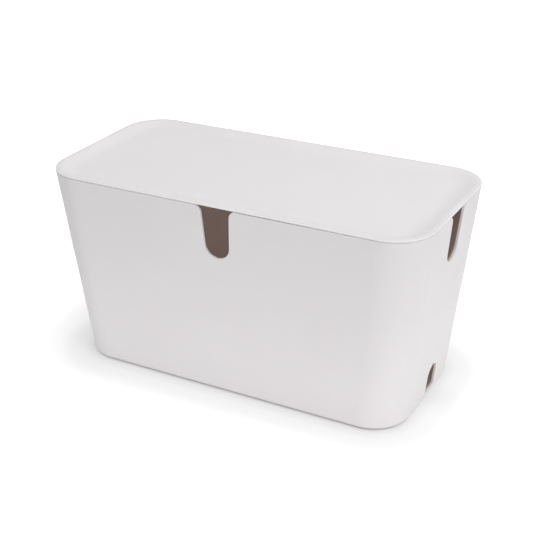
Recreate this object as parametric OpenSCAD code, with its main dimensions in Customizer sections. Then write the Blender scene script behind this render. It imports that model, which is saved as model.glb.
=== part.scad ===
// Cable management box: a drafted rounded box with U-slots in its rim, cable ports low in its
// two ends, a nested inner liner, a lift-off tray lid and four rubber feet.
// Origin at the middle of the footprint on the standing surface; +X along the length, the long
// front faces -Y, +Z up. Millimetres.

/* [Box] */
// Length of the box at its rim
top_length = 466; // [420:1:520]
// Width of the box at its rim
top_width = 226; // [200:1:260]
// Length of the box at its underside
base_length = 416; // [380:1:418]
// Width of the box at its underside
base_width = 194; // [180:1:198]
// Height from the underside of the shell to the crest of the lid
box_height = 238.5; // [220:0.5:280]
// Corner radius, seen from above, at the rim
top_corner = 48; // [40:1:60]
// Corner radius, seen from above, at the underside
base_corner = 44; // [36:1:50]
// Radius of the edge round the underside
base_edge = 5; // [3:0.5:6]

/* [Walls] */
// Thickness of the shell's walls and floor
wall = 3; // [2.4:0.1:3.5]
// Thickness of the liner's walls and floor
liner_wall = 1.2; // [0.8:0.1:2]
// Play between the shell and the liner
liner_play = 0.05; // [0.05:0.05:0.3]
// Drop of the liner's rim below the shell's rim
liner_drop = 1.2; // [0.8:0.1:3]
// Radius between the shell's walls and its floor, on the inside
floor_edge = 3; // [1.5:0.5:5]

/* [Rim slots] */
// Width of a slot just under its flared mouth
slot_width = 34.6; // [24:0.2:40]
// Height from the underside of the shell to the bottom of a slot
slot_bottom = 176; // [160:1:190]
// Draft of each side of a slot, in degrees
slot_draft = 3.1; // [1:0.1:5]
// Radius that flares a slot's mouth into the rim
slot_flare = 10; // [5:0.5:12]

/* [End ports] */
// Width of a port
port_width = 26.5; // [18:0.5:32]
// Height of a port from its flat sill to the top of its arch
port_height = 33.4; // [24:0.2:40]
// Height of a port's sill above the underside of the shell
port_sill = 6.2; // [5.5:0.1:10]
// Offset of a port from the middle of the end, towards the back
port_offset = 6.5; // [-20:0.5:20]
// Radius of the two corners of a port's sill
port_corner = 3; // [0.5:0.5:4]

/* [Lid] */
// Height of the lid's visible edge
lid_edge = 1.3; // [1.2:0.1:3]
// Thickness of the lid's plate
lid_plate = 2.5; // [2:0.1:3]
// Height of the shadow gap under the lid's edge
seam_gap = 0.9; // [0.5:0.1:1.5]
// Depth of the shadow gap
seam_recess = 1.2; // [0.6:0.1:1.4]
// Width of the lid's raised border
lid_border = 5; // [4.5:0.5:8]
// Depth of the tray in the lid
tray_depth = 4.5; // [2:0.5:5]
// Width of the sweep from the raised border down to the tray's floor
tray_sweep = 22; // [12:1:30]
// Radius of the lid's upper outer edge
lid_round = 0.9; // [0.6:0.1:1]
// Depth of the locating lip below the lid's edge
lip_depth = 7; // [4:0.5:10]
// Thickness of the locating lip
lip_wall = 1.8; // [1.2:0.1:2.4]
// Play between the locating lip and the liner
lip_play = 0.6; // [0.4:0.1:1]

/* [Feet] */
// Diameter of a foot
foot_diameter = 16; // [10:1:20]
// Height that the feet hold the shell off the surface
foot_stand = 1.6; // [1.2:0.1:3]
// Depth of the socket that a foot is glued into
foot_socket = 0.8; // [0.5:0.1:1.2]

/* [Hidden] */

shell_white = "#ECEAEA";
lid_white = "#F1EFEF";
liner_taupe = "#84716A";
foot_grey = "#8F8D8B";

corner_steps = 12;              // straight steps in each corner's quarter round
edge_steps = 4;                 // straight steps in a rounded edge
sweep_steps = 7;                // straight steps down the lid's sweep
seam = box_height - lid_edge;   // height of the joint between the shell and the lid
seam_break = 0.2;               // chamfer on the shell's edge under the shadow gap
lid_break = 0.2;                // chamfer under the lid's outer edge
liner_inset = wall + liner_play;
lip_inset = liner_inset + liner_wall + lip_play;
liner_edge = floor_edge + 0.5;  // outer radius of the liner's foot, clear of the shell's
sweep_bias = 0.7;               // under 1 puts the steep part of the sweep near the border
slot_notch = 34;                // half the gap in the lip behind each slot
notch_over = 1;                 // how far a notch's cutter runs below the lip
lid_seat_step = 1;              // where the lid's flat seat ends, outside the start of the sweep
slot_reach = 16;                // how far a slot's cutter runs to each side of the rim's edge
slot_over = 3;                  // how far a slot's cutter stands above the rim
port_reach = 16;                // how far a port's cutter runs to each side of the wall
foot_play = 0.1;                // play round a foot in its socket
foot_round = 0.8;               // edge radius of a foot's sole
foot_x = base_length / 2 - base_corner;
foot_y = base_width / 2 - base_corner;
smooth = 96;

// Blend of a size at the underside into its size at the crest, at height z
function drafted(low, high, z) = low + (high - low) * z / box_height;

// One closed ring of the drafted box at height z, set in by s from its outer face
function ring(s, z) =
    let (half_l = drafted(base_length, top_length, z) / 2 - s,
         half_w = drafted(base_width, top_width, z) / 2 - s,
         r = drafted(base_corner, top_corner, z) - s)
    [for (quarter = [0:3], step = [0:corner_steps])
        let (a = 90 * (quarter + step / corner_steps),
             side_x = (quarter == 0 || quarter == 3) ? 1 : -1,
             side_y = quarter < 2 ? 1 : -1)
        [side_x * (half_l - r) + r * cos(a), side_y * (half_w - r) + r * sin(a), foot_stand + z]];

ring_points = 4 * (corner_steps + 1);

// Side faces between each ring and the next
function bands(rings, closed) =
    [for (i = [0:rings - (closed ? 1 : 2)], k = [0:ring_points - 1], half = [0, 1])
        let (j = (i + 1) % rings,
             m = (k + 1) % ring_points,
             a = i * ring_points + k,
             b = i * ring_points + m,
             c = j * ring_points + m,
             d = j * ring_points + k)
        half == 0 ? [a, d, c] : [a, c, b]];

// Solid swept round the box by an outline of [inset, height] points. An open outline starts and
// ends on flat panels that close the solid; a closed one makes a hollow frame.
module swept(outline, closed = false) {
    points = [for (p = outline) each ring(p[0], p[1])];
    last = (len(outline) - 1) * ring_points;
    panels = closed ? [] : [[for (k = [0:ring_points - 1]) k],
        [for (k = [ring_points - 1:-1:0]) last + k]];
    polyhedron(points, concat(bands(len(outline), closed), panels), convexity = 10);
}

// Quarter round of radius r from a flat underside at height z up to a wall at inset s
function foot_round_points(s, z, r) =
    [for (i = [0:edge_steps]) let (a = 90 * i / edge_steps) [s + r * (1 - sin(a)), z + r * (1 - cos(a))]];

function reversed(list) = [for (i = [len(list) - 1:-1:0]) list[i]];

// Half width of a slot at height z, below its flare
function slot_half(z) = slot_width / 2 - (seam - slot_flare - z) * tan(slot_draft);

// Outline of a slot as [across, height] points: flared mouth, drafted sides, round bottom
module slot_outline() {
    bottom_r = slot_half(slot_bottom + slot_width / 2);
    flare_z = seam - slot_flare;
    flare = [for (i = [0:edge_steps * 2]) let (a = 90 * i / (edge_steps * 2))
        [slot_half(flare_z) + slot_flare * (1 - cos(a)), flare_z + slot_flare * sin(a)]];
    round_end = [for (i = [0:corner_steps]) let (a = 90 * i / corner_steps)
        [bottom_r * sin(a), slot_bottom + bottom_r * (1 - cos(a))]];
    mouth = [[slot_half(flare_z) + slot_flare, seam + slot_over]];
    right = concat(round_end, flare, mouth);
    polygon(concat(right, [for (p = reversed(right)) [-p[0], p[1]]]));
}

// Cutter for the four rim slots, one in the middle of each side
module slot_cutters() {
    for (turn = [0:90:270]) {
        reach = (turn % 180 == 0 ? top_width : top_length) / 2;
        rotate([0, 0, turn])
            translate([0, -reach + slot_reach, foot_stand])
                rotate([90, 0, 0])
                    linear_extrude(2 * slot_reach) slot_outline();
    }
}

// Outline of a port as [across, height] points: flat sill with small corners, straight jambs, arch
module port_outline() {
    arch_r = port_width / 2;
    arch_z = port_sill + port_height - arch_r;
    sill_corner = [for (i = [0:edge_steps]) let (a = 90 * i / edge_steps)
        [arch_r - port_corner * (1 - sin(a)), port_sill + port_corner * (1 - cos(a))]];
    arch = [for (i = [0:corner_steps]) let (a = 90 * i / corner_steps)
        [arch_r * cos(a), arch_z + arch_r * sin(a)]];
    right = concat(sill_corner, arch);
    polygon(concat(right, [for (p = reversed(right)) [-p[0], p[1]]]));
}

// Cutter for the ports low in the two ends
module port_cutters() {
    for (end = [-1, 1])
        translate([end * base_length / 2 - port_reach, port_offset, foot_stand])
            rotate([90, 0, 90])
                linear_extrude(2 * port_reach) port_outline();
}

// The white box: drafted walls, a shadow gap under the rim, slots, ports and the feet's sockets
module outer_shell() {
    ledge = seam - seam_gap;
    rim = [[0, ledge - seam_break], [seam_break, ledge], [seam_recess, ledge],
        [seam_recess, seam], [wall, seam]];
    outline = concat(
        foot_round_points(0, 0, base_edge),
        rim,
        reversed(foot_round_points(wall, wall, floor_edge)));
    color(shell_white)
        difference() {
            swept(outline);
            slot_cutters();
            port_cutters();
            for (x = [-foot_x, foot_x], y = [-foot_y, foot_y])
                translate([x, y, 0])
                    cylinder(h = foot_stand + foot_socket, d = foot_diameter + 2 * foot_play, $fn = smooth);
        }
}

// The taupe lining, nested in the shell with the same openings
module inner_liner() {
    rim = seam - liner_drop;
    outline = concat(
        foot_round_points(liner_inset, wall, liner_edge),
        [[liner_inset, rim], [liner_inset + liner_wall, rim]],
        reversed(foot_round_points(liner_inset + liner_wall, wall + liner_wall, liner_edge - liner_wall)));
    color(liner_taupe)
        difference() {
            swept(outline);
            slot_cutters();
            port_cutters();
        }
}

// Depth of the lid's upper face below its crest, at a share t of the way down the sweep
function sweep_depth(t) = tray_depth * (1 - cos(180 * pow(t, sweep_bias))) / 2;

// The lid's plate: a tray whose sweep climbs to a raised border with a thin edge on the shell's rim
module lid_panel() {
    sweep = [for (i = [0:sweep_steps]) let (t = i / sweep_steps)
        [lid_border + tray_sweep * t, box_height - sweep_depth(t)]];
    under_sweep = [for (p = sweep) [p[0], p[1] - lid_plate]];
    edge = [for (i = [0:edge_steps]) let (a = 90 * i / edge_steps)
        [lid_round * (1 - cos(a)), box_height - lid_round * (1 - sin(a))]];
    seat = [[lid_border - lid_seat_step, seam], [lid_break, seam], [0, seam + lid_break]];
    swept(concat(reversed(under_sweep), seat, edge, sweep));
}

// Frame under the lid that drops inside the liner, cut away behind each slot
module locating_lip() {
    low = seam - lip_depth;
    high = box_height - lid_plate / 2;
    outer = lip_inset;
    inner = lip_inset + lip_wall;
    difference() {
        swept([[outer, low], [outer, high], [inner, high], [inner, low]], closed = true);
        for (turn = [0:90:270])
            rotate([0, 0, turn])
                translate([-slot_notch, -top_length, foot_stand + low - notch_over])
                    cube([2 * slot_notch, 2 * top_length, lip_depth + notch_over]);
    }
}

// The lift-off lid: the tray and its locating lip in one moulding
module lid() {
    color(lid_white)
        union() {
            lid_panel();
            locating_lip();
        }
}

// One rubber foot, glued into its socket, at a corner given by its two signs
module foot(side_x, side_y) {
    r = foot_diameter / 2;
    top = foot_stand + foot_socket;
    sole = [for (i = [0:edge_steps]) let (a = 90 * i / edge_steps)
        [r - foot_round * (1 - sin(a)), foot_round * (1 - cos(a))]];
    color(foot_grey)
        translate([side_x * foot_x, side_y * foot_y, 0])
            rotate_extrude($fn = smooth)
                polygon(concat([[0, 0]], sole, [[r, top], [0, top]]));
}

module foot_front_left() foot(-1, -1);
module foot_front_right() foot(1, -1);
module foot_back_left() foot(-1, 1);
module foot_back_right() foot(1, 1);

outer_shell();
inner_liner();
lid();
foot_front_left();
foot_front_right();
foot_back_left();
foot_back_right();
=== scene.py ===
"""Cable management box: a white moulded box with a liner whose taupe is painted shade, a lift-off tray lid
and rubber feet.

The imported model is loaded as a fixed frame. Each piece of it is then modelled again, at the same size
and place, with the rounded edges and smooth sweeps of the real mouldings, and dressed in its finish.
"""

import logging
import math
from collections.abc import Callable, Iterator, Sequence
from dataclasses import dataclass
from enum import Enum

import bmesh
import bpy
from mathutils import Matrix, Vector


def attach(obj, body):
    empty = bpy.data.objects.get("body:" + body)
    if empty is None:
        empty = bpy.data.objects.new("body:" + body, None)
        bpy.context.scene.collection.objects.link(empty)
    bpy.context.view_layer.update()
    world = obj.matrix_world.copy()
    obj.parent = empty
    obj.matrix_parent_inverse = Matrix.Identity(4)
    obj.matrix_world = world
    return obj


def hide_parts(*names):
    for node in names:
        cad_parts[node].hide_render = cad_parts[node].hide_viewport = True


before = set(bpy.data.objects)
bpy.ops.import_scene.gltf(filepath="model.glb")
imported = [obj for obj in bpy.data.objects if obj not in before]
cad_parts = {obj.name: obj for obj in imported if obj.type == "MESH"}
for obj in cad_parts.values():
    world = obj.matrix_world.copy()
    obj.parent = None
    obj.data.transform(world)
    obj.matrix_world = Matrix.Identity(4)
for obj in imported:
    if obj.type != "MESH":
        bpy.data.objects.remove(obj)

LOG = logging.getLogger("cable_box")
MM = 0.001
SAME_PLACE = 0.001 * MM  # points closer together than this count as one
JUST_APART = 0.99  # keeps two roundings that would meet a little short of each other
FACES_DOWN = -0.99  # a face whose normal's Z is below this faces straight down

Place = tuple[float, float, float]  # X, Y and Z in metres


class Body(Enum):
    """The two bodies that pieces ride on."""

    BOX = "box"
    LID = "lid"


class Slot(Enum):
    """The record's material slots."""

    SHELL = "shell"
    LINER = "liner"
    LID = "lid"
    FOOT = "foot"


# ---------------------------------------------------------------------------------------------
# Finishes
# ---------------------------------------------------------------------------------------------


def linear(colour: str) -> tuple[float, float, float, float]:
    """Turns an sRGB hex colour into the linear colour that shaders work in.

    Args:
        colour: six hex digits after a hash sign.

    Returns:
        Linear red, green and blue, and an alpha of 1.
    """
    channels = [int(colour[i : i + 2], 16) / 255 for i in (1, 3, 5)]
    toe = 0.04045
    red, green, blue = (c / 12.92 if c <= toe else ((c + 0.055) / 1.055) ** 2.4 for c in channels)
    return red, green, blue, 1.0


def add_node(
    tree: bpy.types.NodeTree, kind: str, inputs: dict[str | int, object] | None = None, **settings: object
) -> bpy.types.Node:
    """Adds one shader node with its settings, its plain values and its links.

    Args:
        tree: the node tree of a material or of the world.
        kind: the node's type, such as ShaderNodeBump.
        inputs: socket name or number to a plain value, or to the output socket that feeds it.
        settings: the node's own settings, by name.

    Returns:
        The new node.
    """
    node = tree.nodes.new(kind)
    for name, value in settings.items():
        setattr(node, name, value)
    for name, value in (inputs or {}).items():
        if isinstance(value, bpy.types.NodeSocket):
            tree.links.new(value, node.inputs[name])
        else:
            node.inputs[name].default_value = value
    return node


def blank_material(name: str) -> bpy.types.Material:
    """Makes a material whose node tree is empty.

    Args:
        name: the material's name.

    Returns:
        The new material.
    """
    material = bpy.data.materials.new(name)
    material.use_nodes = True
    material.node_tree.nodes.clear()
    return material


@dataclass(frozen=True)
class MouldedFinish:
    """A pigmented polymer surface as it leaves its mould.

    The mould's eroded texture gives a fine, even grain, and the flow of the melt leaves broad, faint
    changes of gloss and tone.
    """

    name: str
    colour: str  # sRGB of the pigment
    flow_colour: str  # sRGB of the faint darker clouds in it
    roughness: float
    roughness_spread: float
    grain_mm: float  # distance between the grain's peaks
    grain_depth_mm: float
    flow_mm: float = 70.0  # width of the clouds of tone and gloss
    ior: float = 1.5
    specular_level: float = 0.5  # under 0.5 where the grain breaks the gloss up
    scatter: float = 0.0  # share of the light that travels inside before it comes out
    scatter_mm: float = 1.0  # how far it travels
    scatter_tint: tuple[float, float, float] = (1.0, 0.95, 0.9)  # red travels a little further than blue

    def material(self) -> bpy.types.Material:
        """Builds the shader.

        Returns:
            The new material.
        """
        material = blank_material(self.name)
        tree = material.node_tree
        place = add_node(tree, "ShaderNodeTexCoord").outputs["Object"]
        grain = add_node(
            tree,
            "ShaderNodeTexNoise",
            {"Vector": place, "Scale": 1 / (self.grain_mm * MM), "Detail": 2.0, "Roughness": 0.55},
        )
        bump = add_node(
            tree,
            "ShaderNodeBump",
            {"Height": grain.outputs["Fac"], "Distance": self.grain_depth_mm * MM, "Strength": 1.0},
        )
        flow = add_node(
            tree,
            "ShaderNodeTexNoise",
            {"Vector": place, "Scale": 1 / (self.flow_mm * MM), "Detail": 1.0, "Roughness": 0.4},
        )
        gloss = add_node(
            tree,
            "ShaderNodeMapRange",
            {
                "Value": flow.outputs["Fac"],
                "To Min": self.roughness - self.roughness_spread,
                "To Max": self.roughness + self.roughness_spread,
            },
        )
        tone = add_node(
            tree,
            "ShaderNodeMix",
            {
                "Factor": flow.outputs["Fac"],
                "A": linear(self.colour),
                "B": linear(self.flow_colour),
            },
            data_type="RGBA",
        )
        shader = add_node(
            tree,
            "ShaderNodeBsdfPrincipled",
            {
                "Base Color": tone.outputs["Result"],
                "Roughness": gloss.outputs["Result"],
                "IOR": self.ior,
                "Specular IOR Level": self.specular_level,
                "Subsurface Weight": self.scatter,
                "Subsurface Scale": self.scatter_mm * MM,
                "Subsurface Radius": self.scatter_tint,
                "Normal": bump.outputs["Normal"],
            },
        )
        add_node(tree, "ShaderNodeOutputMaterial", {"Surface": shader.outputs["BSDF"]})
        return material


# White ABS from a finely eroded mould: satin, with no visible pattern from a step away. The real
# grain is about 0.1 mm; it is drawn at 0.9 mm and very shallow, so that it shows at all. Light travels
# some way inside the white, which keeps its edges and the cut faces of its openings bright.
SHELL_WHITE = MouldedFinish(
    name="white_abs_moulded",
    colour="#ECE9EA",
    flow_colour="#EAE6E7",
    roughness=0.58,
    roughness_spread=0.04,
    grain_mm=0.9,
    grain_depth_mm=0.006,
    specular_level=0.3,
    scatter=0.5,
    scatter_mm=3.0,
)
# The lid is the same white ABS, from a mould polished a little further, which makes its grain shallower.
LID_WHITE = MouldedFinish(
    name="white_abs_lid_moulded",
    colour="#EDEAEB",
    flow_colour="#EBE8E9",
    roughness=0.55,
    roughness_spread=0.04,
    grain_mm=0.9,
    grain_depth_mm=0.005,
    specular_level=0.3,
    scatter=0.5,
    scatter_mm=3.0,
)
# The liner's taupe is painted shade: a dark colour where the inside of the closed box lies in shade, seen
# through every opening. It is drawn as thin, matt polypropylene, whose coarser grain scatters the light that
# comes in. The real grain is about 0.3 mm, and is drawn at 1.4 mm so that it shows.
LINER_PAINTED_SHADE = MouldedFinish(
    name="taupe_liner_painted_shade",
    colour="#83726A",
    flow_colour="#7E6E66",
    roughness=0.72,
    roughness_spread=0.04,
    grain_mm=1.4,
    grain_depth_mm=0.02,
    ior=1.49,
)
# Soft grey rubber, dull, with the fine pits of a pressed sheet: about 0.2 mm apart, and drawn at 0.6 mm.
FOOT_RUBBER = MouldedFinish(
    name="grey_rubber_pressed",
    colour="#8F8D8B",
    flow_colour="#868482",
    roughness=0.85,
    roughness_spread=0.05,
    grain_mm=0.6,
    grain_depth_mm=0.03,
    flow_mm=9.0,
    ior=1.52,
)


# ---------------------------------------------------------------------------------------------
# Modelling by hand: rings, outlines, cuts and rounded edges
# ---------------------------------------------------------------------------------------------


def clear_selection() -> None:
    """Leaves edit mode and deselects every object."""
    if bpy.context.object is not None and bpy.context.object.mode != "OBJECT":
        bpy.ops.object.mode_set(mode="OBJECT")
    bpy.ops.object.select_all(action="DESELECT")


def make_active(piece: bpy.types.Object) -> None:
    """Selects one object and nothing else.

    Args:
        piece: the object.
    """
    clear_selection()
    piece.select_set(True)
    bpy.context.view_layer.objects.active = piece


def start_piece(name: str) -> bpy.types.Object:
    """Starts an empty mesh object at the origin, in edit mode, with vertices as what is selected.

    Args:
        name: the piece's name.

    Returns:
        The new object.
    """
    clear_selection()
    bpy.ops.mesh.primitive_plane_add(size=MM)
    piece = bpy.context.active_object
    piece.name = name
    piece.data.name = name
    bpy.ops.object.mode_set(mode="EDIT")
    bpy.ops.mesh.select_mode(type="VERT")
    bpy.ops.mesh.select_all(action="SELECT")
    bpy.ops.mesh.delete(type="VERT")
    return piece


def select_vertices(piece: bpy.types.Object, chosen: Callable[[int, Vector], bool]) -> None:
    """Selects, in edit mode, the vertices that a test on their number and place picks, and no others.

    Args:
        piece: the object being edited.
        chosen: takes a vertex's number and place, and says whether it is wanted.
    """
    bpy.ops.mesh.select_all(action="DESELECT")
    mesh = bmesh.from_edit_mesh(piece.data)
    mesh.verts.ensure_lookup_table()
    for vertex in mesh.verts:
        if chosen(vertex.index, vertex.co):
            vertex.select_set(True)
    mesh.select_flush(True)
    bmesh.update_edit_mesh(piece.data)


def select_faces(piece: bpy.types.Object, chosen: Callable[[bmesh.types.BMFace], bool]) -> None:
    """Selects, in edit mode, the faces that a test picks, and no others.

    Args:
        piece: the object being edited.
        chosen: takes a face and says whether it is wanted.
    """
    bpy.ops.mesh.select_all(action="DESELECT")
    mesh = bmesh.from_edit_mesh(piece.data)
    for face in mesh.faces:
        if chosen(face):
            face.select_set(True)
    bmesh.update_edit_mesh(piece.data)


def close_piece() -> None:
    """Merges doubles, turns the faces of the closed mesh being edited outwards and leaves edit mode."""
    bpy.ops.mesh.select_all(action="SELECT")
    bpy.ops.mesh.remove_doubles(threshold=SAME_PLACE)
    bpy.ops.mesh.normals_make_consistent(inside=False)
    bpy.ops.object.mode_set(mode="OBJECT")


def round_selected_corners(reach: float, steps: int) -> None:
    """Rounds the selected corners of a flat outline, in edit mode.

    Args:
        reach: how far from the corner the rounding starts on each side, in metres.
        steps: straight steps in the rounding.
    """
    bpy.ops.mesh.bevel(
        offset=reach,
        offset_type="OFFSET",
        segments=steps,
        profile=0.5,
        affect="VERTICES",
        clamp_overlap=False,
    )


@dataclass(frozen=True)
class Ring:
    """One rounded rectangle round the box, in metres."""

    length: float
    width: float
    radius: float
    height: float


@dataclass(frozen=True)
class RingStack:
    """A solid made of rings joined one to the next, as a loft is drawn by hand."""

    rings: Sequence[Ring]
    corner_steps: int = 16
    closed: bool = False  # True joins the last ring to the first, for a hollow frame
    spread: float = 20 * MM  # rings are joined this far apart, where no two share a height

    def build(self, name: str) -> bpy.types.Object:
        """Draws the rings, bridges them and fills the two ends.

        Args:
            name: the piece's name.

        Returns:
            The closed solid.
        """
        piece = start_piece(name)
        for number, ring in enumerate(self.rings):
            self._draw(ring, number * self.spread)
        count = len(self.rings)
        per_ring = 4 * (self.corner_steps + 1)
        pairs = [(i, i + 1) for i in range(count - 1)] + ([(count - 1, 0)] if self.closed else [])
        for pair in pairs:
            select_vertices(piece, lambda i, _, pair=pair: i // per_ring in pair)
            bpy.ops.mesh.bridge_edge_loops()
        if not self.closed:
            for end in (0, count - 1):
                select_vertices(piece, lambda i, _, end=end: i // per_ring == end)
                bpy.ops.mesh.edge_face_add()
        for number, ring in enumerate(self.rings):
            select_vertices(piece, lambda i, _, number=number: i // per_ring == number)
            bpy.ops.transform.translate(value=(0, 0, ring.height - number * self.spread))
        close_piece()
        return piece

    def _draw(self, ring: Ring, height: float) -> None:
        """Draws one ring: a plane scaled to size, its corners rounded, its face taken away.

        Args:
            ring: the ring.
            height: where it is drawn, before it goes to its own height.
        """
        bpy.ops.mesh.select_all(action="DESELECT")
        bpy.ops.mesh.primitive_plane_add(size=1, location=(0, 0, height))
        bpy.ops.transform.resize(value=(ring.length, ring.width, 1))
        round_selected_corners(ring.radius, self.corner_steps)
        bpy.ops.mesh.delete(type="ONLY_FACE")


@dataclass(frozen=True)
class Corner:
    """A corner of a flat outline, with the radius that rounds it, in metres."""

    across: float
    up: float
    radius: float = 0.0


def tangent_length(before: Corner, corner: Corner, after: Corner) -> float:
    """Distance from a corner to where its rounding starts on each side.

    Args:
        before: the corner before it.
        corner: the corner that is rounded.
        after: the corner after it.

    Returns:
        The distance along either side, in metres.
    """
    one = Vector((before.across - corner.across, before.up - corner.up))
    other = Vector((after.across - corner.across, after.up - corner.up))
    return corner.radius / math.tan(one.angle(other) / 2)


def outline_prism(name: str, corners: Sequence[Corner], depth: float, steps: int) -> bpy.types.Object:
    """Draws a flat outline in the XY plane, rounds its corners and pulls it up into a prism.

    Args:
        name: the piece's name.
        corners: the outline's corners in order.
        depth: the prism's height along Z.
        steps: straight steps in each rounded corner.

    Returns:
        The prism.
    """
    piece = start_piece(name)
    first = corners[0]
    bpy.ops.mesh.primitive_plane_add(size=MM, location=(first.across, first.up, 0))
    bpy.ops.mesh.merge(type="CENTER")
    for last, corner in zip(corners, corners[1:]):
        step = (corner.across - last.across, corner.up - last.up, 0)
        bpy.ops.mesh.extrude_vertices_move(TRANSFORM_OT_translate={"value": step})
    bpy.ops.mesh.select_all(action="SELECT")
    bpy.ops.mesh.edge_face_add()
    count = len(corners)
    near = 0.01 * MM
    for i, corner in enumerate(corners):
        if corner.radius <= 0:
            continue
        spot = Vector((corner.across, corner.up, 0))
        select_vertices(piece, lambda _, place, spot=spot: (place - spot).length < near)
        round_selected_corners(tangent_length(corners[i - 1], corner, corners[(i + 1) % count]), steps)
    bpy.ops.mesh.select_all(action="SELECT")
    bpy.ops.mesh.extrude_region_move(TRANSFORM_OT_translate={"value": (0, 0, depth)})
    close_piece()
    return piece


def settle(piece: bpy.types.Object, placing: Matrix) -> None:
    """Places an object and applies the place to its mesh, so that it sits at the origin, unturned.

    Args:
        piece: the object.
        placing: where it goes.
    """
    piece.matrix_world = placing
    make_active(piece)
    bpy.ops.object.transform_apply(location=True, rotation=True, scale=True)


def apply_modifier(piece: bpy.types.Object, kind: str, **settings: object) -> None:
    """Adds one modifier with its settings and applies it.

    Args:
        piece: the object.
        kind: the modifier's type, such as BEVEL.
        settings: the modifier's settings, by name.
    """
    make_active(piece)
    modifier = piece.modifiers.new(kind.title(), kind)
    for name, value in settings.items():
        setattr(modifier, name, value)
    bpy.ops.object.modifier_apply(modifier=modifier.name)


def dissolve_slivers(piece: bpy.types.Object) -> None:
    """Takes out the edges of no length and the faces of no area that a cut leaves along its outline.

    Args:
        piece: the object.
    """
    make_active(piece)
    bpy.ops.object.mode_set(mode="EDIT")
    bpy.ops.mesh.select_all(action="SELECT")
    bpy.ops.mesh.dissolve_degenerate(threshold=SAME_PLACE)
    bpy.ops.object.mode_set(mode="OBJECT")


def cut_away(piece: bpy.types.Object, cutters: Sequence[bpy.types.Object]) -> None:
    """Cuts each cutter out of a piece, and removes the cutters.

    Args:
        piece: the object that is cut.
        cutters: closed solids.
    """
    for cutter in cutters:
        apply_modifier(piece, "BOOLEAN", operation="DIFFERENCE", solver="EXACT", object=cutter)
        bpy.data.objects.remove(cutter)
    dissolve_slivers(piece)


def fuse(piece: bpy.types.Object, other: bpy.types.Object) -> None:
    """Joins another solid to a piece as one skin, and removes it.

    Args:
        piece: the object that grows.
        other: the solid that is joined to it.
    """
    apply_modifier(piece, "BOOLEAN", operation="UNION", solver="EXACT", object=other)
    bpy.data.objects.remove(other)
    dissolve_slivers(piece)


def round_sharp_edges(piece: bpy.types.Object, radius: float, steps: int, above: float = 42.0) -> None:
    """Rounds every edge that turns by more than an angle.

    Args:
        piece: the object.
        radius: the rounding's radius, in metres.
        steps: straight steps in the rounding.
        above: the angle in degrees.
    """
    apply_modifier(
        piece,
        "BEVEL",
        width=radius,
        segments=steps,
        limit_method="ANGLE",
        angle_limit=math.radians(above),
        use_clamp_overlap=False,
        miter_outer="MITER_ARC",
    )


def smooth_piece(piece: bpy.types.Object, sharp_above: float = 40.0, flat_weight: int = 60) -> None:
    """Shades a piece smoothly, with its broad flat faces kept flat.

    Args:
        piece: the object.
        sharp_above: the angle in degrees past which an edge stays sharp.
        flat_weight: how much more a broad face counts than a small one, up to 100.
    """
    make_active(piece)
    bpy.ops.object.shade_smooth_by_angle(angle=math.radians(sharp_above))
    apply_modifier(piece, "WEIGHTED_NORMAL", mode="FACE_AREA", weight=flat_weight, keep_sharp=True)


def dress(piece: bpy.types.Object, finish: MouldedFinish, body: Body, node: str) -> None:
    """Gives a finished mesh its material, and sets it in the frame in the place of its node.

    Args:
        piece: the finished object, at the origin.
        finish: what its surface is.
        body: the body that it rides on.
        node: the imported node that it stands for.
    """
    smooth_piece(piece)
    piece.data.materials.clear()
    piece.data.materials.append(finish.material())
    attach(piece, body.value)
    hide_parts(node)
    LOG.info("%s: %d faces", piece.name, len(piece.data.polygons))


# ---------------------------------------------------------------------------------------------
# The box
# ---------------------------------------------------------------------------------------------


@dataclass(frozen=True)
class Envelope:
    """The drafted outer form that every piece is measured from, in millimetres.

    Heights are counted from the underside of the shell, which the feet hold off the surface.
    """

    top_length: float = 466.0
    top_width: float = 226.0
    base_length: float = 416.0
    base_width: float = 194.0
    height: float = 238.5
    top_corner: float = 48.0  # radius of the corners, seen from above
    base_corner: float = 44.0
    lid_edge: float = 1.3  # height of the lid's edge above the joint
    foot_stand: float = 1.6  # how far the feet hold the shell off the surface

    @property
    def seam(self) -> float:
        """Height of the joint between the shell and the lid."""
        return self.height - self.lid_edge

    def drafted(self, low: float, high: float, height: float) -> float:
        """Blends a size at the underside into its size at the crest."""
        return low + (high - low) * height / self.height

    def ring(self, inset: float, height: float) -> Ring:
        """The box's outline at a height, set in from its outer face.

        Args:
            inset: distance inwards, in millimetres.
            height: height above the underside of the shell, in millimetres.

        Returns:
            The ring, in metres, in the frame.
        """
        return Ring(
            length=(self.drafted(self.base_length, self.top_length, height) - 2 * inset) * MM,
            width=(self.drafted(self.base_width, self.top_width, height) - 2 * inset) * MM,
            radius=(self.drafted(self.base_corner, self.top_corner, height) - inset) * MM,
            height=(self.foot_stand + height) * MM,
        )

    def stack(self, outline: Sequence[tuple[float, float]], closed: bool = False) -> RingStack:
        """Rings for an outline of inset and height pairs."""
        return RingStack([self.ring(inset, height) for inset, height in outline], closed=closed)


def quarter_turn(steps: int) -> list[float]:
    """Angles from 0 to a right angle in equal steps, in radians."""
    return [math.pi / 2 * i / steps for i in range(steps + 1)]


def quarter_round(inset: float, height: float, radius: float, steps: int) -> list[tuple[float, float]]:
    """Outline of a quarter round from a flat underside up to a wall, as inset and height pairs."""
    angles = quarter_turn(steps)
    return [(inset + radius * (1 - math.sin(a)), height + radius * (1 - math.cos(a))) for a in angles]


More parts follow.
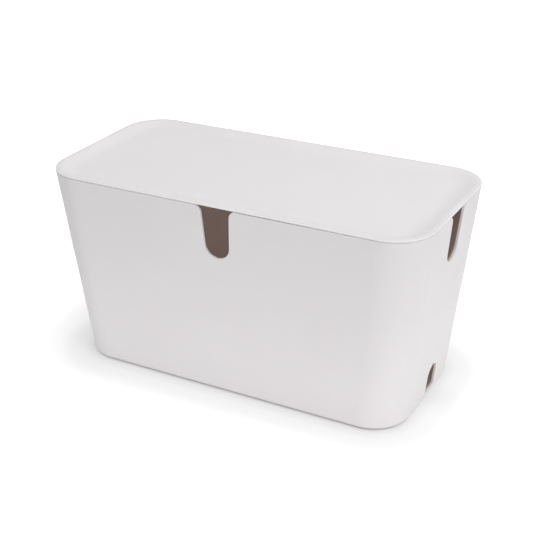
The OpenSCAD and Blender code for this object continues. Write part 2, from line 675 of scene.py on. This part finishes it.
@dataclass(frozen=True)
class Openings:
    """The slots in the rim and the ports in the ends, in millimetres."""

    envelope: Envelope
    slot_width: float = 34.6  # where its flare starts
    slot_bottom: float = 176.0
    slot_draft: float = 3.1  # degrees that each side leans outwards
    slot_flare: float = 10.0  # radius of the flared mouth
    port_width: float = 26.5
    port_height: float = 33.4
    port_sill: float = 6.2
    port_offset: float = 6.5  # how far a port sits towards the back
    port_corner: float = 3.0  # radius of the sill's corners
    reach: float = 16.0  # how far a cutter runs to each side of the wall
    over: float = 3.0  # how far a slot's cutter stands above the seam
    arc_steps: int = 16  # straight steps in each rounded corner

    def slot_half(self, height: float) -> float:
        """Half the width of a slot at a height, below its flare."""
        below_flare = self.envelope.seam - self.slot_flare - height
        return self.slot_width / 2 - below_flare * math.tan(math.radians(self.slot_draft))

    def cutter(self, name: str, shape: Sequence[tuple[float, float, float]]) -> bpy.types.Object:
        """Draws an opening's outline and pulls it into a cutter, lying flat at the origin.

        Args:
            name: the cutter's name.
            shape: the outline's corners as across, height and radius.

        Returns:
            The cutter, before it goes to its place.
        """
        stand = self.envelope.foot_stand
        corners = [Corner(across * MM, (up + stand) * MM, radius * MM) for across, up, radius in shape]
        return outline_prism(name, corners, 2 * self.reach * MM, self.arc_steps)

    def slot_cutter(self, turn: float) -> bpy.types.Object:
        """One slot's cutter: drafted sides, a round bottom, and a mouth that flares into the rim.

        Args:
            turn: 0 for the front, 90 for the right end, and so on.

        Returns:
            The cutter in its place.
        """
        seam = self.envelope.seam
        low, high = self.slot_half(self.slot_bottom), self.slot_half(seam)
        wide = high + 2 * self.slot_flare
        draft = math.radians(90 + self.slot_draft)
        round_bottom = JUST_APART * low * math.tan(draft / 2)
        shape = [
            (-low, self.slot_bottom, round_bottom),
            (low, self.slot_bottom, round_bottom),
            (high, seam, self.slot_flare),
            (wide, seam, 0),
            (wide, seam + self.over, 0),
            (-wide, seam + self.over, 0),
            (-wide, seam, 0),
            (-high, seam, self.slot_flare),
        ]
        cutter = self.cutter("slot_cutter", shape)
        side = self.envelope.top_width if turn % 180 == 0 else self.envelope.top_length
        upright = Matrix.Rotation(math.pi / 2, 4, "X")
        out = Matrix.Translation((0, (self.reach - side / 2) * MM, 0))
        settle(cutter, Matrix.Rotation(math.radians(turn), 4, "Z") @ out @ upright)
        return cutter

    def port_cutter(self, end: int) -> bpy.types.Object:
        """One port's cutter: a flat sill with small corners, straight jambs and a full arch.

        Args:
            end: -1 for the left end, 1 for the right.

        Returns:
            The cutter in its place.
        """
        half = self.port_width / 2
        top = self.port_sill + self.port_height
        arch = JUST_APART * half
        shape = [
            (-half, self.port_sill, self.port_corner),
            (half, self.port_sill, self.port_corner),
            (half, top, arch),
            (-half, top, arch),
        ]
        cutter = self.cutter("port_cutter", shape)
        upright = Matrix.Rotation(math.pi / 2, 4, "Z") @ Matrix.Rotation(math.pi / 2, 4, "X")
        start = (end * self.envelope.base_length / 2 - self.reach) * MM
        settle(cutter, Matrix.Translation((start, self.port_offset * MM, 0)) @ upright)
        return cutter

    def cutters(self) -> list[bpy.types.Object]:
        """All four slots' cutters and both ports'."""
        slots = [self.slot_cutter(turn) for turn in (0, 90, 180, 270)]
        return [*slots, *(self.port_cutter(end) for end in (-1, 1))]


@dataclass(frozen=True)
class Feet:
    """The four rubber feet and the sockets they are glued into, in millimetres."""

    envelope: Envelope
    diameter: float = 16.0
    socket: float = 0.8  # depth of a socket in the shell's underside
    play: float = 0.1  # gap round a foot in its socket
    sole_round: float = 0.8
    sole_border: float = 2.2  # width of the sole's flat edge, and again of the slope into its dish
    sole_dish: float = 0.3
    sides: int = 64  # straight sides round a foot
    round_steps: int = 4  # straight steps in the sole's rounded edge

    @property
    def depth(self) -> float:
        """Height of a foot, from its sole to the bottom of its socket."""
        return self.envelope.foot_stand + self.socket

    def places(self) -> Iterator[tuple[str, float, float]]:
        """Each foot's node, and where its middle is.

        Returns:
            The node's name, and X and Y in metres, for one foot after another.
        """
        x = (self.envelope.base_length / 2 - self.envelope.base_corner) * MM
        y = (self.envelope.base_width / 2 - self.envelope.base_corner) * MM
        for depth, side_y in (("front", -1), ("back", 1)):
            for side, side_x in (("left", -1), ("right", 1)):
                yield f"foot_{depth}_{side}", side_x * x, side_y * y

    def disc(self, radius: float, depth: float, middle: Place) -> bpy.types.Object:
        """A round disc, lying flat.

        Args:
            radius: its radius in millimetres.
            depth: its thickness in millimetres.
            middle: where its middle is, in metres.

        Returns:
            The disc, with its place in its mesh.
        """
        clear_selection()
        bpy.ops.mesh.primitive_cylinder_add(
            vertices=self.sides, radius=radius * MM, depth=depth * MM, location=middle
        )
        disc = bpy.context.active_object
        settle(disc, disc.matrix_world.copy())
        return disc

    def socket_cutter(self, x: float, y: float) -> bpy.types.Object:
        """The cutter for one foot's socket, which runs on below the shell."""
        return self.disc(self.diameter / 2 + self.play, 2 * self.depth, (x, y, 0))

    def model_pad(self) -> bpy.types.Object:
        """Models one foot at the origin: a disc with a rounded, slightly dished sole.

        Returns:
            The foot.
        """
        pad = self.disc(self.diameter / 2, self.depth, (0, 0, self.depth / 2 * MM))
        bpy.ops.object.mode_set(mode="EDIT")
        select_vertices(pad, lambda _, place: place.z < self.depth / 4 * MM)
        bpy.ops.mesh.bevel(
            offset=self.sole_round * MM, segments=self.round_steps, profile=0.5, affect="EDGES"
        )
        bpy.ops.mesh.select_mode(type="FACE")
        select_faces(pad, lambda face: face.normal.z < FACES_DOWN and len(face.verts) > 4)
        bpy.ops.mesh.inset(thickness=self.sole_border * MM)
        bpy.ops.mesh.inset(thickness=self.sole_border * MM)
        bpy.ops.transform.translate(value=(0, 0, self.sole_dish * MM))
        bpy.ops.mesh.select_mode(type="VERT")
        close_piece()
        return pad

    def build(self) -> None:
        """Models one foot, and sets a copy of it, each with its own mesh, in every corner."""
        pad = self.model_pad()
        for node, x, y in self.places():
            piece = pad.copy()
            piece.data = pad.data.copy()
            piece.name = f"{node}_pad"
            bpy.context.collection.objects.link(piece)
            settle(piece, Matrix.Translation((x, y, 0)))
            dress(piece, FOOT_RUBBER, Body.BOX, node)
        bpy.data.objects.remove(pad)


@dataclass(frozen=True)
class OuterShell:
    """The white box: drafted walls, rounded underside, slots, ports and foot sockets, in millimetres."""

    envelope: Envelope
    openings: Openings
    feet: Feet
    wall: float = 3.0
    base_edge: float = 5.0  # radius of the rounding outside, round the underside
    base_steps: int = 8  # straight steps in it
    floor_edge: float = 3.0  # radius of the rounding inside, round the floor
    floor_steps: int = 5
    gap: float = 0.9  # height of the shadow gap under the lid's edge
    recess: float = 1.2  # depth of that gap
    edge_round: float = 0.3  # radius that every sharp edge gets
    edge_steps: int = 3

    def build(self) -> None:
        """Models and dresses the shell."""
        seam = self.envelope.seam
        outside = quarter_round(0, 0, self.base_edge, self.base_steps)
        inside = quarter_round(self.wall, self.wall, self.floor_edge, self.floor_steps)
        ledge = seam - self.gap
        rim = [(0, ledge), (self.recess, ledge), (self.recess, seam), (self.wall, seam)]
        piece = self.envelope.stack([*outside, *rim, *reversed(inside)]).build("outer_shell_body")
        sockets = [self.feet.socket_cutter(x, y) for _, x, y in self.feet.places()]
        cut_away(piece, [*self.openings.cutters(), *sockets])
        round_sharp_edges(piece, self.edge_round * MM, self.edge_steps)
        dress(piece, SHELL_WHITE, Body.BOX, "outer_shell")


@dataclass(frozen=True)
class InnerLiner:
    """The lining, nested in the shell with the same openings, in millimetres. Its taupe is painted shade."""

    envelope: Envelope
    openings: Openings
    shell: OuterShell
    wall: float = 1.2
    play: float = 0.05  # gap between its wall and the shell's
    drop: float = 1.2  # how far its rim lies below the shell's
    foot_clearance: float = 0.5  # how much rounder its foot is than the shell's floor, to stay clear of it
    outside_steps: int = 6  # straight steps in its foot's rounding
    inside_steps: int = 5
    edge_round: float = 0.3
    edge_steps: int = 2

    @property
    def inset(self) -> float:
        """Distance of the liner's outer face from the box's."""
        return self.shell.wall + self.play

    def build(self) -> None:
        """Models and dresses the liner."""
        rim = self.envelope.seam - self.drop
        foot = self.shell.floor_edge + self.foot_clearance
        inner = self.inset + self.wall
        floor = self.shell.wall + self.wall
        outside = quarter_round(self.inset, self.shell.wall, foot, self.outside_steps)
        inside = quarter_round(inner, floor, foot - self.wall, self.inside_steps)
        outline = [*outside, (self.inset, rim), (inner, rim), *reversed(inside)]
        piece = self.envelope.stack(outline).build("inner_liner_tub")
        cut_away(piece, self.openings.cutters())
        round_sharp_edges(piece, self.edge_round * MM, self.edge_steps)
        # The liner's taupe finish is painted shade: it stands in for the dim inside of the closed box.
        dress(piece, LINER_PAINTED_SHADE, Body.BOX, "inner_liner")


@dataclass(frozen=True)
class TrayLid:
    """The lift-off lid: a raised border, a sweep down to a tray, and a locating lip, in millimetres."""

    envelope: Envelope
    liner: InnerLiner
    plate: float = 2.5  # thickness of the tray
    border: float = 5.0
    tray_depth: float = 4.5
    tray_sweep: float = 22.0  # width of the sweep from the border down to the tray's floor
    sweep_bias: float = 0.7  # under 1 puts the steep part of the sweep near the border
    sweep_steps: int = 28
    upper_round: float = 0.9  # radius of the upper outer edge
    upper_steps: int = 6
    edge_round: float = 0.25
    edge_steps: int = 3
    seat_step: float = 1.0  # how much narrower the seat on the shell's rim is than the border
    lip_depth: float = 7.0
    lip_wall: float = 1.8
    lip_play: float = 0.6  # gap between the lip and the liner
    notch: float = 34.0  # half the gap in the lip behind each slot

    def sweep(self) -> list[tuple[float, float]]:
        """Outline of the upper face from the border down to the tray's floor.

        Returns:
            Inset and height pairs.
        """
        shares = [i / self.sweep_steps for i in range(self.sweep_steps + 1)]
        drop = [self.tray_depth * (1 - math.cos(math.pi * t**self.sweep_bias)) / 2 for t in shares]
        return [(self.border + self.tray_sweep * t, self.envelope.height - d) for t, d in zip(shares, drop)]

    def upper_edge(self) -> list[tuple[float, float]]:
        """Outline of the rounded outer edge, from the lid's side up to its crest.

        Returns:
            Inset and height pairs.
        """
        radius, crest = self.upper_round, self.envelope.height
        angles = quarter_turn(self.upper_steps)
        return [(radius * (1 - math.cos(a)), crest - radius * (1 - math.sin(a))) for a in angles]

    def lip(self) -> bpy.types.Object:
        """The frame that drops inside the liner, cut away behind each slot.

        Returns:
            The frame, which reaches up into the plate.
        """
        low = self.envelope.seam - self.lip_depth
        high = self.envelope.height - self.plate / 2
        outer = self.liner.inset + self.liner.wall + self.lip_play
        inner = outer + self.lip_wall
        outline = [(outer, low), (outer, high), (inner, high), (inner, low)]
        lip = self.envelope.stack(outline, closed=True).build("lip")
        cut_away(lip, [self.notch_cutter(turn, low) for turn in (0, 90)])
        return lip

    def notch_cutter(self, turn: float, low: float) -> bpy.types.Object:
        """A bar right across the box that opens the lip behind two slots that face each other.

        Args:
            turn: 0 for the front and the back, 90 for the two ends.
            low: height of the lip's underside, in millimetres.

        Returns:
            The bar in its place.
        """
        clear_selection()
        middle = (self.envelope.foot_stand + low + self.lip_depth / 2) * MM
        bpy.ops.mesh.primitive_cube_add(size=1, location=(0, 0, middle))
        bar = bpy.context.active_object
        bar.scale = (2 * self.notch * MM, 2 * self.envelope.top_length * MM, 2 * self.lip_depth * MM)
        bar.rotation_euler.z = math.radians(turn)
        bpy.context.view_layer.update()
        settle(bar, bar.matrix_world.copy())
        return bar

    def build(self) -> None:
        """Models and dresses the lid."""
        seam = self.envelope.seam
        sweep = self.sweep()
        under = [(inset, height - self.plate) for inset, height in reversed(sweep)]
        seat = [(self.border - self.seat_step, seam), (0, seam)]
        outline = [*under, *seat, *self.upper_edge(), *sweep]
        piece = self.envelope.stack(outline).build("lid_tray")
        fuse(piece, self.lip())
        round_sharp_edges(piece, self.edge_round * MM, self.edge_steps)
        dress(piece, LID_WHITE, Body.LID, "lid")


# ---------------------------------------------------------------------------------------------
# The studio
# ---------------------------------------------------------------------------------------------

Profile = tuple[tuple[float, float], ...]  # distances from the box and strengths there, nearest first


def add_area_lamp(name: str, place: Place, size: tuple[float, float], power: float) -> bpy.types.Object:
    """Adds a rectangular lamp that points down and that the camera doesn't see.

    Args:
        name: the lamp's name.
        place: where it hangs, in metres.
        size: its length and width in metres.
        power: its power in watts.

    Returns:
        The lamp.
    """
    clear_selection()
    bpy.ops.object.light_add(type="AREA", location=place)
    lamp = bpy.context.active_object
    lamp.name = name
    lamp.data.shape = "RECTANGLE"
    lamp.data.size, lamp.data.size_y = size
    lamp.data.energy = power
    lamp.visible_camera = False
    return lamp


@dataclass(frozen=True)
class SoftBox:
    """A rectangular softbox that faces the box. Its place and size are in metres, its power in watts."""

    name: str
    place: Place
    size: tuple[float, float]
    power: float
    aim: Place = (0.0, 0.0, 0.12)

    def build(self) -> None:
        """Adds the lamp and turns it to the box."""
        lamp = add_area_lamp(self.name, self.place, self.size, self.power)
        away = Vector(self.place) - Vector(self.aim)
        lamp.rotation_euler = away.to_track_quat("Z", "Y").to_euler()


@dataclass(frozen=True)
class InsideGlow:
    """The weak light that thin white walls pass on to the liner, stood in for by lamps that point down."""

    side: float = 0.13  # how far to the left and right of the middle they hang
    size: tuple[float, float] = (0.12, 0.05)
    levels: tuple[tuple[float, float], ...] = ((0.225, 0.185), (0.13, 0.05))  # each pair's height and power
    lit_piece: str = "inner_liner_tub"

    def build(self) -> None:
        """Adds the lamps, which light the liner alone."""
        lit = bpy.data.collections.new("lit_by_inside_glow")
        lit.objects.link(bpy.data.objects[self.lit_piece])
        for height, power in self.levels:
            for across in (-self.side, self.side):
                lamp = add_area_lamp("inside_glow", (across, 0, height), self.size, power)
                lamp.visible_glossy = False
                lamp.light_linking.receiver_collection = lit


@dataclass(frozen=True)
class LightTable:
    """The white table: matt, softly lit from inside round the box, and white to the camera further out.

    Its glow gives the lower walls their light. Its camera-only white is weaker near the box: painted shade
    round the base. All lengths are in metres.
    """

    envelope: Envelope
    size: float = 60.0
    colour: str = "#D0D0D0"
    glow: Profile = ((-0.007, 0.0), (0.0, 0.2), (0.02, 0.24), (0.05, 0.3), (0.13, 0.56), (0.24, 0.0))
    # The camera's extra white starts low at the box: painted shade round its base, on top of the real
    # shadow.
    lift: Profile = ((0.0, 0.1), (0.02, 0.14), (0.06, 0.22), (0.4, 1.0))  # extra, for the camera alone

    def build(self) -> None:
        """Adds the table's top, which keeps the box's shadow."""
        clear_selection()
        bpy.ops.mesh.primitive_plane_add(size=self.size)
        table = bpy.context.active_object
        table.name = "light_table"
        material = blank_material("light_table_acrylic")
        tree = material.node_tree
        distance = self.distance_from_box(tree)
        glow = self.strength(tree, distance, self.glow)
        # Weaker near the box, this paints a soft shade round its base for the camera alone.
        lift = self.strength(tree, distance, self.lift)
        light = add_node(
            tree, "ShaderNodeMath", {0: lift, 1: seen_directly(tree), 2: glow}, operation="MULTIPLY_ADD"
        )
        paint = add_node(tree, "ShaderNodeBsdfDiffuse", {"Color": linear(self.colour)})
        lamp = add_node(tree, "ShaderNodeEmission", {"Strength": light.outputs["Value"]})
        both = add_node(tree, "ShaderNodeAddShader", {0: paint.outputs["BSDF"], 1: lamp.outputs["Emission"]})
        add_node(tree, "ShaderNodeOutputMaterial", {"Surface": both.outputs["Shader"]})
        table.data.materials.append(material)

    def distance_from_box(self, tree: bpy.types.NodeTree) -> bpy.types.NodeSocket:
        """Distance on the table from the outline that the box stands on.

        Args:
            tree: the node tree.

        Returns:
            The output socket that gives it, which goes down to minus the corner radius inside.
        """
        corner = self.envelope.base_corner * MM
        half_length = self.envelope.base_length / 2 * MM - corner
        half_width = self.envelope.base_width / 2 * MM - corner
        place = add_node(tree, "ShaderNodeTexCoord").outputs["Object"]
        mirrored = add_node(tree, "ShaderNodeVectorMath", {0: place}, operation="ABSOLUTE")
        past = add_node(
            tree,
            "ShaderNodeVectorMath",
            {0: mirrored.outputs["Vector"], 1: (half_length, half_width, 0.0)},
            operation="SUBTRACT",
        )
        outside = add_node(
            tree, "ShaderNodeVectorMath", {0: past.outputs["Vector"], 1: (0, 0, 0)}, operation="MAXIMUM"
        )
        length = add_node(tree, "ShaderNodeVectorMath", {0: outside.outputs["Vector"]}, operation="LENGTH")
        distance = add_node(
            tree, "ShaderNodeMath", {0: length.outputs["Value"], 1: corner}, operation="SUBTRACT"
        )
        return distance.outputs["Value"]

    def strength(
        self, tree: bpy.types.NodeTree, distance: bpy.types.NodeSocket, profile: Profile
    ) -> bpy.types.NodeSocket:
        """A strength that passes smoothly through a profile.

        Args:
            tree: the node tree.
            distance: the output socket that gives the distance from the box.
            profile: the strengths and where they are reached.

        Returns:
            The output socket that gives the strength.
        """
        total: float | bpy.types.NodeSocket = profile[0][1]
        for (start, before), (end, after) in zip(profile, profile[1:]):
            step = add_node(
                tree,
                "ShaderNodeMapRange",
                {"Value": distance, "From Min": start, "From Max": end, "To Max": after - before},
                interpolation_type="SMOOTHSTEP",
            )
            both = add_node(tree, "ShaderNodeMath", {0: step.outputs["Result"], 1: total}, operation="ADD")
            total = both.outputs["Value"]
        return total


def seen_directly(tree: bpy.types.NodeTree) -> bpy.types.NodeSocket:
    """A value that is 1 for what the camera sees, also in a reflection or through glass.

    Args:
        tree: the node tree of a material or of the world.

    Returns:
        The output socket that gives it.
    """
    path = add_node(tree, "ShaderNodeLightPath")
    either = add_node(
        tree,
        "ShaderNodeMath",
        {0: path.outputs["Is Camera Ray"], 1: path.outputs["Is Glossy Ray"]},
        operation="MAXIMUM",
    )
    any_of_three = add_node(
        tree,
        "ShaderNodeMath",
        {0: either.outputs["Value"], 1: path.outputs["Is Transmission Ray"]},
        operation="MAXIMUM",
    )
    return any_of_three.outputs["Value"]


@dataclass(frozen=True)
class Surround:
    """The soft white surround: it lights the box, less so from the left, and the camera sees it as white."""

    colour: str = "#FFFFFF"
    strength: float = 0.57
    shade: float = 0.36  # how much weaker it is on the left, which gives the left corner its shade
    shade_full: float = -0.95  # X of a direction, to the left of which the shade is full
    shade_start: float = -0.5  # X of a direction, where the shade starts

    def build(self) -> None:
        """Makes it the scene's world."""
        world = bpy.data.worlds.new("studio_surround")
        world.use_nodes = True
        tree = world.node_tree
        tree.nodes.clear()
        direction = add_node(tree, "ShaderNodeTexCoord").outputs["Generated"]
        across = add_node(tree, "ShaderNodeSeparateXYZ", {"Vector": direction})
        strength = add_node(
            tree,
            "ShaderNodeMapRange",
            {
                "Value": across.outputs["X"],
                "From Min": self.shade_full,
                "From Max": self.shade_start,
                "To Min": self.strength - self.shade,
                "To Max": self.strength,
            },
            interpolation_type="SMOOTHSTEP",
        )
        soft = add_node(
            tree,
            "ShaderNodeBackground",
            {"Color": linear(self.colour), "Strength": strength.outputs["Result"]},
        )
        white = add_node(tree, "ShaderNodeBackground", {"Color": (1, 1, 1, 1), "Strength": 1.0})
        mixed = add_node(
            tree,
            "ShaderNodeMixShader",
            {0: seen_directly(tree), 1: soft.outputs["Background"], 2: white.outputs["Background"]},
        )
        add_node(tree, "ShaderNodeOutputWorld", {"Surface": mixed.outputs["Shader"]})
        bpy.context.scene.world = world


@dataclass(frozen=True)
class StudioCamera:
    """The camera, where the photograph was taken from, in metres."""

    place: Place = (0.5720, -1.0522, 0.7050)
    aim: Place = (0.0047, 0.0025, 0.1161)
    roll: float = 0.652  # degrees clockwise
    lens: float = 75.16  # focal length in mm
    sensor: float = 36.0  # width in mm
    nearest: float = 0.05
    furthest: float = 200.0

    def build(self) -> None:
        """Adds the camera and makes it the scene's."""
        clear_selection()
        bpy.ops.object.camera_add(location=self.place)
        camera = bpy.context.active_object
        camera.name = "photo_camera"
        camera.data.lens = self.lens
        camera.data.sensor_width = self.sensor
        camera.data.clip_start = self.nearest
        camera.data.clip_end = self.furthest
        gaze = Vector(self.aim) - Vector(self.place)
        roll = Matrix.Rotation(math.radians(-self.roll), 4, "Z")
        turned = gaze.to_track_quat("-Z", "Y").to_matrix().to_4x4() @ roll
        camera.rotation_euler = turned.to_euler()
        bpy.context.scene.camera = camera


@dataclass(frozen=True)
class Studio:
    """A light table, a white surround, softboxes and the camera at the photograph's angle."""

    table: LightTable
    surround: Surround = Surround()
    softboxes: tuple[SoftBox, ...] = (
        SoftBox("softbox_key", (2.0, -1.4, 1.8), (1.6, 1.2), 17.9),
        SoftBox("softbox_right", (1.15, 0.0, 0.85), (1.0, 0.7), 2.15),
        SoftBox("softbox_front_low", (0.0, -1.3, 0.17), (1.4, 0.3), 1.85),
        SoftBox("softbox_top", (0.0, 0.0, 1.3), (1.4, 1.0), 3.25),
    )
    glow: InsideGlow = InsideGlow()
    camera: StudioCamera = StudioCamera()

    def build(self) -> None:
        """Sets up the whole studio."""
        for item in (self.surround, self.table, *self.softboxes, self.glow, self.camera):
            item.build()
        bpy.context.scene.view_settings.view_transform = "Standard"


def main() -> None:
    """Builds every piece in order, then the studio."""
    logging.basicConfig(level=logging.INFO, format="%(name)s: %(message)s")
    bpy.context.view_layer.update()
    envelope = Envelope()
    openings = Openings(envelope)
    feet = Feet(envelope)
    shell = OuterShell(envelope, openings, feet)
    liner = InnerLiner(envelope, openings, shell)
    lid = TrayLid(envelope, liner)
    for part in (shell, liner, lid, feet, Studio(LightTable(envelope))):
        part.build()
    clear_selection()


if __name__ == "__main__":
    main()
